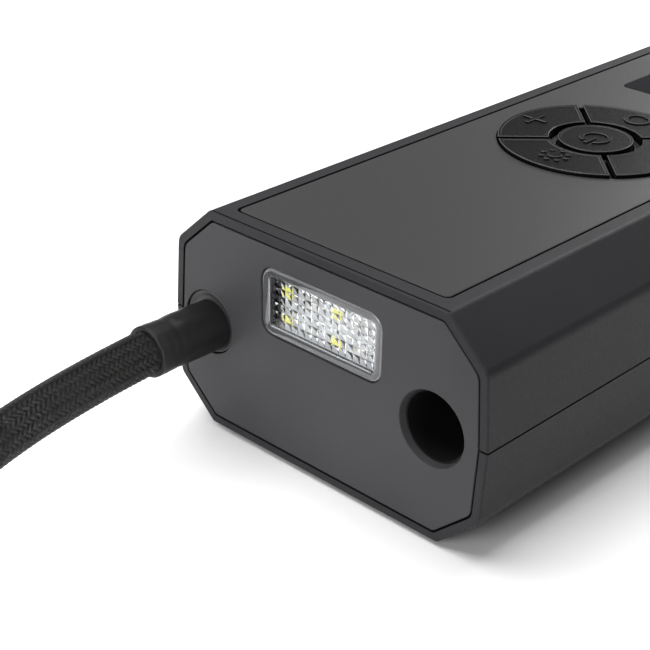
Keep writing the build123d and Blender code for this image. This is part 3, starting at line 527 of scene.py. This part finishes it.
# ---------------------------------------------------------------- materials
class Shader:
    """A Principled material whose detail is built up with a few node helpers."""

    def __init__(self, name, colour, roughness, **sockets):
        self.material = bpy.data.materials.new(name)
        self.material.use_nodes = True
        self.tree = self.material.node_tree
        self.surface = self.tree.nodes["Principled BSDF"]
        self.surface.inputs["Base Color"].default_value = (*colour, 1.0)
        self.surface.inputs["Roughness"].default_value = roughness
        for socket, value in sockets.items():
            self.surface.inputs[socket.replace("_", " ")].default_value = value
        self.last_bump = None

    def node(self, kind, **values):
        """New node of a kind; each value goes to the property or, failing that, the input of its name."""
        made = self.tree.nodes.new(kind)
        for key, value in values.items():
            if hasattr(made, key):
                setattr(made, key, value)
            else:
                made.inputs[key.replace("_", " ")].default_value = value
        return made

    def link(self, source, output, target, socket):
        """Links a node's output to a node's input."""
        self.tree.links.new(source.outputs[output], target.inputs[socket])

    def coordinates(self, stretch=None, output="Object"):
        """Texture coordinates, stretched if need be, as a node and the name of its output."""
        source = self.node("ShaderNodeTexCoord")
        if stretch is None:
            return source, output
        mapping = self.node("ShaderNodeMapping")
        mapping.inputs["Scale"].default_value = stretch
        self.link(source, output, mapping, "Vector")
        return mapping, "Vector"

    def noise(self, scale, detail=2.0, stretch=None):
        """Noise over the object's own coordinates, with scale cells to the metre."""
        texture = self.node("ShaderNodeTexNoise", Scale=scale, Detail=detail)
        source, name = self.coordinates(stretch)
        self.link(source, name, texture, "Vector")
        return texture

    def ramp(self, texture, output, low, high, start=0.3, end=0.7):
        """Value that goes from low to high as a texture's value goes from start to end."""
        mapped = self.node("ShaderNodeMapRange", clamp=True)
        for socket, value in (("From Min", start), ("From Max", end), ("To Min", low), ("To Max", high)):
            mapped.inputs[socket].default_value = value
        self.link(texture, output, mapped, "Value")
        return mapped

    def vary_colour(self, texture, output, first, second, start=0.3, end=0.7):
        """Base colour that goes from the first to the second as a texture's value goes from start to end."""
        blend = self.node("ShaderNodeMix", data_type="RGBA")
        blend.inputs[6].default_value = (*first, 1.0)
        blend.inputs[7].default_value = (*second, 1.0)
        factor = self.ramp(texture, output, 0.0, 1.0, start, end)
        self.link(factor, "Result", blend, 0)
        self.link(blend, 2, self.surface, "Base Color")

    def vary_roughness(self, texture, output, low, high, start=0.3, end=0.7):
        """Roughness that goes from low to high as a texture's value goes from start to end."""
        self.link(self.ramp(texture, output, low, high, start, end), "Result", self.surface, "Roughness")

    def bump(self, texture, output, distance):
        """Adds a bump, distance in metres, on top of any bump the material already has."""
        made = self.node("ShaderNodeBump", Strength=1.0, Distance=distance)
        self.link(texture, output, made, "Height")
        if self.last_bump is not None:
            self.link(self.last_bump, "Normal", made, "Normal")
        self.link(made, "Normal", self.surface, "Normal")
        self.last_bump = made

    def facing(self):
        """The direction that the surface faces, as a node with outputs X, Y and Z."""
        geometry = self.node("ShaderNodeNewGeometry")
        parts = self.node("ShaderNodeSeparateXYZ")
        self.link(geometry, "True Normal", parts, "Vector")
        return parts


def moulded(name, colour, roughness, grain=2600.0, depth=0.00002, variation=0.12, **sockets):
    """Moulded plastic or rubber with a fine spark-eroded grain and slight cloudiness."""
    shader = Shader(name, colour, roughness, **sockets)
    cloud = shader.noise(35.0, 3.0)
    dark = tuple(c * (1 - variation) for c in colour)
    light = tuple(min(1.0, c * (1 + variation)) for c in colour)
    shader.vary_colour(cloud, "Fac", dark, light)
    fine = shader.noise(grain, 2.0)
    shader.bump(fine, "Fac", depth)
    shader.vary_roughness(fine, "Fac", roughness - 0.06, roughness + 0.06)
    return shader.material


def metal(name, colour, roughness, stretch=(1.0, 1.0, 1.0), depth=0.000004):
    """Metal with fine tool or roll marks drawn out along one direction."""
    shader = Shader(name, colour, roughness, Metallic=1.0)
    marks = shader.noise(2500.0, 3.0, stretch)
    shader.bump(marks, "Fac", depth)
    shader.vary_roughness(marks, "Fac", max(0.05, roughness - 0.1), roughness + 0.12)
    blotch = shader.noise(120.0, 3.0)
    shader.vary_colour(blotch, "Fac", tuple(c * 0.86 for c in colour), colour)
    return shader.material


def braid_material():
    """Black nylon filaments that run along each strand, painted lighter on its crown and darker at its
    edges, painted shade where it dips under the others.
    """
    crown = (0.0130, 0.0130, 0.0133)
    painted_edge_shade = (0.0006, 0.0006, 0.0006)
    shader = Shader("hose_braid", (0.005, 0.005, 0.0055), 0.28, Anisotropic=0.8, Specular_IOR_Level=0.15)
    filaments = shader.node("ShaderNodeTexWave", wave_type="BANDS", bands_direction="Y", wave_profile="SIN",
                            Scale=2.4, Distortion=1.2, Detail=1.0, Detail_Scale=2.0)
    strand, output = shader.coordinates((260.0, 1.0, 1.0), "UV")
    shader.link(strand, output, filaments, "Vector")
    shader.bump(filaments, "Fac", 0.00003)
    along = shader.node("ShaderNodeTangent", direction_type="UV_MAP", uv_map="strand")
    shader.link(along, "Tangent", shader.surface, "Tangent")
    across = shader.node("ShaderNodeSeparateXYZ")
    from_crown = shader.node("ShaderNodeMath", operation="ABSOLUTE")
    shader.link(strand, output, across, "Vector")
    shader.link(across, "Y", from_crown, 0)
    # Painted shade: the colour darkens from the strand's crown to its edges, where it dips under the strands
    # wound the other way.
    shader.vary_colour(from_crown, "Value", crown, painted_edge_shade, 0.20, 0.85)
    return shader.material


def shrink_material():
    """Heat-shrunk tube: satin black, softly uneven."""
    shader = Shader("sleeve_shrink", (0.008, 0.008, 0.008), 0.36, Specular_IOR_Level=0.16)
    soft = shader.noise(420.0, 3.0)
    shader.bump(soft, "Fac", 0.00005)
    fine = shader.noise(2600.0, 2.0)
    shader.bump(fine, "Fac", 0.000008)
    shader.vary_roughness(soft, "Fac", 0.30, 0.44)
    shader.vary_colour(soft, "Fac", (0.007, 0.007, 0.007), (0.010, 0.010, 0.010))
    return shader.material


def clear_material():
    """Clear polycarbonate with the faintest waviness."""
    shader = Shader("lens_clear", (0.97, 0.98, 1.0), 0.03, IOR=1.49, Transmission_Weight=1.0)
    waves = shader.noise(500.0, 1.0)
    shader.bump(waves, "Fac", 0.000006)
    return shader.material


def rim_material():
    """The lens's rim: grey where it is flat, with a painted highlight along its rounded edges."""
    flat_grey = (0.11, 0.113, 0.120)
    shader = Shader("lens_rim", flat_grey, 0.08, IOR=1.49, Transmission_Weight=0.45, Coat_Weight=1.0)
    facing = shader.facing()
    # Painted highlight: faces turned away from the front are coloured brighter, standing in for light caught
    # on the rounded edges.
    shader.vary_colour(facing, "Y", flat_grey, (0.46, 0.47, 0.49), -0.985, -0.80)
    streaks = shader.noise(420.0, 2.0)
    shader.bump(streaks, "Fac", 0.00001)
    return shader.material


def smoked_material():
    """Smoked display window with a little dust in its gloss."""
    shader = Shader("display_glass", (0.006, 0.006, 0.008), 0.12, Specular_IOR_Level=0.35)
    waves = shader.noise(40.0, 2.0)
    shader.bump(waves, "Fac", 0.00002)
    dust = shader.noise(3000.0, 2.0)
    shader.vary_roughness(dust, "Fac", 0.10, 0.20, 0.5, 0.75)
    return shader.material


def soft_rubber(name, colour, roughness=0.6):
    """Rubber with a finer, shallower grain than the plastics."""
    return moulded(name, colour, roughness, grain=3800.0, depth=0.000008, variation=0.08)


def phosphor_material(name, colour, painted_glow):
    """Phosphor window of an LED that is off; a painted glow makes it shine a little, the same under any
    light.
    """
    shader = Shader(name, colour, 0.45, Emission_Color=(*colour, 1.0), Emission_Strength=painted_glow)
    grains = shader.noise(5000.0, 2.0)
    shader.vary_colour(grains, "Fac", tuple(c * 0.85 for c in colour), colour)
    shader.bump(grains, "Fac", 0.00001)
    return shader.material


def overlay_material():
    """Fine satin cover sheet whose cut edges are painted black and without gloss, painted shade for the gap
    round it.
    """
    satin = (0.030, 0.030, 0.031)
    shader = Shader("overlay_plastic", satin, 0.40, Specular_IOR_Level=0.3)
    fine = shader.noise(2600.0, 2.0)
    shader.bump(fine, "Fac", 0.000006)
    shader.vary_roughness(fine, "Fac", 0.35, 0.47)
    facing = shader.facing()
    # Painted shade: faces that do not face up are coloured near black and lose their gloss, standing in for
    # the shade in the gap round the sheet.
    shader.vary_colour(facing, "Z", (0.0015, 0.0015, 0.0015), satin, 0.3, 0.5)
    gloss = shader.ramp(facing, "Z", 0.0, 0.3, 0.3, 0.5)
    shader.link(gloss, "Result", shader.surface, "Specular IOR Level")
    return shader.material


def key_material():
    """Black rubber keys; their rounded edges and the slopes of their symbols are painted lighter, a painted
    highlight, and their upright walls darker than their tops.
    """
    shader = Shader("button_rubber", (0.0040, 0.0040, 0.0042), 0.30, Specular_IOR_Level=0.10)
    fine = shader.noise(3800.0, 2.0)
    shader.bump(fine, "Fac", 0.000003)
    shader.vary_roughness(fine, "Fac", 0.24, 0.36)
    # Painted highlight: the colour follows how far a face tilts up, and sloping faces are made much lighter
    # than the flat tops.
    shades = shader.node("ShaderNodeValToRGB")
    shader.link(shader.facing(), "Z", shades, "Fac")
    shader.link(shades, "Color", shader.surface, "Base Color")
    stops = shades.color_ramp.elements
    stops[0].position = 0.25
    stops[0].color = (0.0020, 0.0020, 0.0021, 1.0)
    stops[1].position = 0.98
    stops[1].color = (0.0042, 0.0042, 0.0044, 1.0)
    stops.new(0.50).color = (0.065, 0.065, 0.066, 1.0)
    stops.new(0.90).color = (0.080, 0.080, 0.081, 1.0)
    return shader.material


dull = {"Specular_IOR_Level": 0.22}
slot_materials = {
    "case_plastic": moulded("case_plastic", (0.0150, 0.0146, 0.0168), 0.52, **dull),
    "panel_plastic": moulded("panel_plastic", (0.037, 0.0366, 0.0395), 0.50, **dull),
    "overlay_plastic": overlay_material(),
    "button_rubber": key_material(),
    "display_glass": smoked_material(),
    "lens_clear": clear_material(),
    "emitters": moulded("led_package_white", (0.82, 0.82, 0.80), 0.45, variation=0.04),
    "led_board_white": moulded("led_board_white", (0.88, 0.89, 0.90), 0.35, variation=0.05),
    "circuit_board": moulded("circuit_board", (0.012, 0.090, 0.040), 0.35, grain=900.0, depth=0.00001),
    "electronics": moulded("electronics", (0.020, 0.020, 0.022), 0.40),
    "screws": metal("screws", (0.55, 0.56, 0.58), 0.32),
    "cells": moulded("cells", (0.020, 0.180, 0.300), 0.28, depth=0.000004, variation=0.06),
    "inner_plastic": moulded("inner_plastic", (0.006, 0.006, 0.0063), 0.60, Specular_IOR_Level=0.12),
    "nickel": metal("nickel", (0.70, 0.68, 0.62), 0.28, (1.0, 6.0, 1.0)),
    "motor_steel": metal("motor_steel", (0.62, 0.62, 0.63), 0.34, (1.0, 0.1, 1.0)),
    "motor_cap": moulded("motor_cap", (0.72, 0.69, 0.60), 0.5),
    "magnets": moulded("magnets", (0.055, 0.055, 0.060), 0.45, grain=1500.0),
    "windings": metal("windings", (0.60, 0.25, 0.10), 0.35, (1.0, 8.0, 1.0), 0.00002),
    "steel": metal("steel", (0.62, 0.63, 0.64), 0.22, (1.0, 8.0, 1.0)),
    "brass": metal("brass", (0.78, 0.58, 0.24), 0.25, (1.0, 8.0, 1.0)),
    "gear_plastic": moulded("gear_plastic", (0.78, 0.76, 0.70), 0.45),
    "pump_aluminium": metal("pump_aluminium", (0.70, 0.71, 0.72), 0.42, depth=0.00002),
    "rod_plastic": moulded("rod_plastic", (0.030, 0.030, 0.032), 0.5),
    "seal_rubber": soft_rubber("seal_rubber", (0.008, 0.008, 0.008)),
    "tube_silicone": moulded("tube_silicone", (0.62, 0.60, 0.54), 0.4),
    "hose_braid": braid_material(),
    "sleeve_shrink": shrink_material(),
    "grommet_rubber": soft_rubber("grommet_rubber", (0.022, 0.022, 0.023), 0.5),
    "ferrule_metal": metal("ferrule_metal", (0.40, 0.41, 0.43), 0.38, (1.0, 8.0, 1.0)),
    "chuck_metal": metal("chuck_metal", (0.50, 0.375, 0.175), 0.36, (1.0, 8.0, 1.0)),
    "foot_rubber": soft_rubber("foot_rubber", (0.025, 0.025, 0.025)),
}
for subpart in frame["record"]["subparts"]:
    finish = slot_materials[subpart["material_slot"]]
    node_object = nodes[subpart["node"]]
    for material_slot in node_object.material_slots:
        material_slot.material = finish
    if not node_object.material_slots:
        node_object.data.materials.append(finish)

rim = rim_material()
ghost = moulded("display_ghost", (0.035, 0.036, 0.038), 0.35, depth=0.000002)
# The warm phosphor is given a painted glow; the cool one has none.
warm_phosphor = phosphor_material("phosphor_warm", (0.97, 0.93, 0.22), 0.30)
cool_phosphor = phosphor_material("phosphor_cool", (0.88, 0.88, 0.84), 0.0)
piece_materials = [
    (core, [slot_materials["seal_rubber"]]),
    (braid, [slot_materials["hose_braid"]]),
    (sleeve, [slot_materials["sleeve_shrink"]]),
    (lens, [slot_materials["lens_clear"], rim]),
    (segments, [ghost]),
    (packages, [slot_materials["emitters"], warm_phosphor, cool_phosphor]),
]
for piece, finishes in piece_materials:
    for finish in finishes:
        piece.data.materials.append(finish)
for face, column in phosphor_faces:
    packages.data.polygons[face].material_index = 1 if column % 2 == 0 else 2

# ---------------------------------------------------------------- floor, world and lights
floor_mesh = bpy.data.meshes.new("floor")
half_floor = 8.0
floor_height = -0.0001       # just under the feet
floor_corners = [(-1, -1), (1, -1), (1, 1), (-1, 1)]
floor_points = [(x * half_floor, y * half_floor, floor_height) for x, y in floor_corners]
floor_mesh.from_pydata(floor_points, [], [(0, 1, 2, 3)])
floor = bpy.data.objects.new("floor", floor_mesh)
scene.collection.objects.link(floor)
floor_shader = Shader("floor", (0.93, 0.93, 0.93), 0.7)
floor_shader.vary_colour(floor_shader.noise(3.0, 2.0), "Fac", (0.92, 0.92, 0.92), (0.94, 0.94, 0.94))
floor_mesh.materials.append(floor_shader.material)

scene.view_settings.view_transform = "Standard"
world = bpy.data.worlds.new("world")
world.use_nodes = True
scene.world = world


def grey(value):
    """Opaque grey of one brightness."""
    return (value, value, value, 1.0)


def sky(horizon, middle, zenith, right):
    """Grey studio surround: brightness by height above the horizon, dimmed to a factor towards +X."""
    tree = world.node_tree
    direction = tree.nodes.new("ShaderNodeTexCoord")
    parts = tree.nodes.new("ShaderNodeSeparateXYZ")
    shades = tree.nodes.new("ShaderNodeValToRGB")
    tree.links.new(direction.outputs["Generated"], parts.inputs["Vector"])
    tree.links.new(parts.outputs["Z"], shades.inputs["Fac"])
    tree.links.new(shades.outputs["Color"], tree.nodes["Background"].inputs["Color"])
    dimming = tree.nodes.new("ShaderNodeMapRange")
    for socket, value in (("From Min", 0.2), ("From Max", 0.9), ("To Min", 1.0), ("To Max", right)):
        dimming.inputs[socket].default_value = value
    tree.links.new(parts.outputs["X"], dimming.inputs["Value"])
    tree.links.new(dimming.outputs["Result"], tree.nodes["Background"].inputs["Strength"])
    stops = shades.color_ramp.elements
    stops[0].color = grey(horizon)
    stops[1].color = grey(zenith)
    stops.new(0.30).color = grey(middle)
    stops.new(0.65).color = grey(middle)


sky(horizon=0.80, middle=0.14, zenith=0.7, right=0.1)


def softbox(name, place, target, size, power, spread=180.0):
    """Rectangular area light of a power in watts, facing a target, its beam narrowed to spread degrees."""
    data = bpy.data.lights.new(name, "AREA")
    data.shape = "RECTANGLE"
    data.size, data.size_y = size
    data.energy = power
    data.spread = math.radians(spread)
    light = bpy.data.objects.new(name, data)
    light.location = place
    light.rotation_mode = "QUATERNION"
    light.rotation_quaternion = (Vector(target) - Vector(place)).to_track_quat("-Z", "Y")
    scene.collection.objects.link(light)


softbox("overhead", (-0.45, -0.10, 1.3), (0.0, 0.0, 0.0), (1.6, 1.6), 29.0)
softbox("front_low", (-0.2, -1.6, 0.35), (0.0, 0.0, 0.02), (1.2, 0.5), 11.0)
softbox("front_right", (0.40, -1.2, 0.80), (0.0, -0.05, 0.02), (0.5, 0.5), 4.0)
softbox("back_near", (-0.10, 0.60, 0.38), (0.0, 0.06, 0.05), (0.4, 0.25), 2.1)
softbox("hose_side", (0.42, -0.24, 0.10), (-0.031, -0.135, 0.022), (0.06, 0.04), 0.034, spread=10.0)
